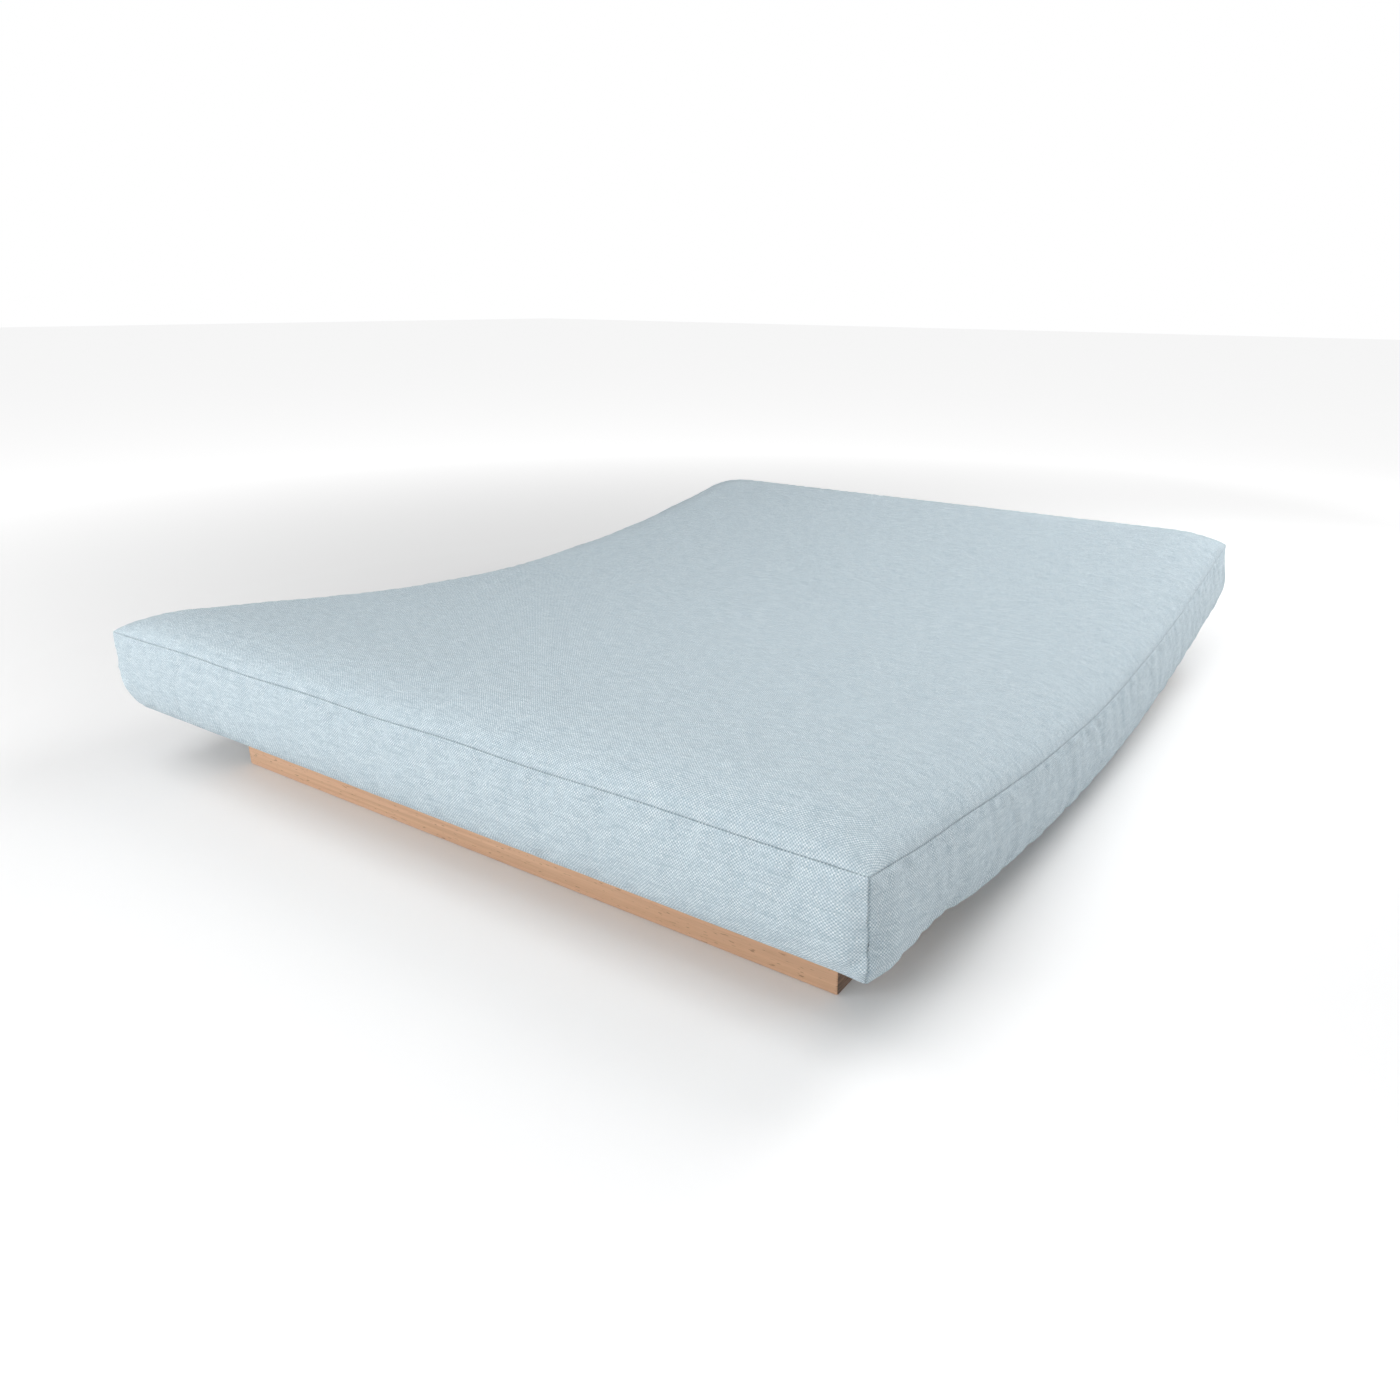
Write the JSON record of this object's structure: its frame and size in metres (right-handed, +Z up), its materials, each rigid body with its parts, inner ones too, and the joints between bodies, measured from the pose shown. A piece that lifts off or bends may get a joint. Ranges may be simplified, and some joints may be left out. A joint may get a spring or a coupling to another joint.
{
  "type": "futon mattress",
  "caption": "Double futon mattress in a zipped pale blue linen cover, lying in a low beech slatted base whose top dips across the middle.",
  "frame": {"origin": "on the floor under the middle of the base", "axes": "+X across the width, +Y from the front edge to the back edge where the zip is, +Z up"},
  "size_m": [1.6, 1.987, 0.336],
  "materials": {
    "linen_cover": "matte",
    "zip_tape": "matte",
    "zip_coil": "satin",
    "nickel": "satin",
    "calico": "matte",
    "cotton_felt": "matte",
    "foam": "matte",
    "coir": "matte",
    "beech": "satin",
    "birch_slat": "satin",
    "webbing": "matte",
    "zinc_steel": "satin"
  },
  "bodies": {
    "base": {"rail_front": "beech", "rail_back": "beech", "bearer_left": "beech", "bearer_centre": "beech", "bearer_right": "beech", "joint_block_front_left": "beech", "joint_block_front_centre": "beech", "joint_block_front_right": "beech", "joint_block_back_left": "beech", "joint_block_back_centre": "beech", "joint_block_back_right": "beech", "bolt_front_left_low": "zinc_steel", "bolt_front_left_high": "zinc_steel", "bolt_front_centre": "zinc_steel", "bolt_front_right_low": "zinc_steel", "bolt_front_right_high": "zinc_steel", "bolt_back_left_low": "zinc_steel", "bolt_back_left_high": "zinc_steel", "bolt_back_centre": "zinc_steel", "bolt_back_right_low": "zinc_steel", "bolt_back_right_high": "zinc_steel", "slat_01": "birch_slat", "slat_02": "birch_slat", "slat_03": "birch_slat", "slat_04": "birch_slat", "slat_05": "birch_slat", "slat_06": "birch_slat", "slat_07": "birch_slat", "slat_08": "birch_slat", "slat_09": "birch_slat", "slat_10": "birch_slat", "slat_11": "birch_slat", "slat_12": "birch_slat", "slat_strap_left": "webbing", "slat_strap_right": "webbing"},
    "mattress": {"cover_top_panel": "linen_cover", "cover_bottom_panel": "linen_cover", "cover_border_front": "linen_cover", "cover_border_left": "linen_cover", "cover_border_right": "linen_cover", "cover_border_back_upper": "linen_cover", "cover_border_back_lower": "linen_cover", "zip_end_tab_left": "linen_cover", "zip_end_tab_right": "linen_cover", "zip_tape_upper": "zip_tape", "zip_tape_lower": "zip_tape", "zip_coil": "zip_coil", "zip_stop_left": "nickel", "zip_stop_right": "nickel", "inner_case_top": "calico", "inner_case_bottom": "calico", "inner_case_border": "calico", "cotton_batt_top": "cotton_felt", "cotton_batt_bottom": "cotton_felt", "foam_layer_upper": "foam", "foam_layer_lower": "foam", "coir_core": "coir"},
    "zip_slider": {"zip_slider": "nickel"},
    "zip_pull": {"zip_pull": "nickel"}
  },
  "joints": [
    {"name": "mattress_lift", "type": "slide", "parent": "base", "child": "mattress", "axis": [0, 0, 1], "range_m": [0, 0.35]},
    {"name": "zip_travel", "type": "slide", "parent": "mattress", "child": "zip_slider", "axis": [1, 0, 0], "range_m": [0, 1.456]},
    {"name": "pull_swing", "type": "hinge", "parent": "zip_slider", "child": "zip_pull", "pos_m": [-0.728, 0.9917, 0.23], "axis": [0, 0, 1], "range_deg": [0, 180]}
  ]
}
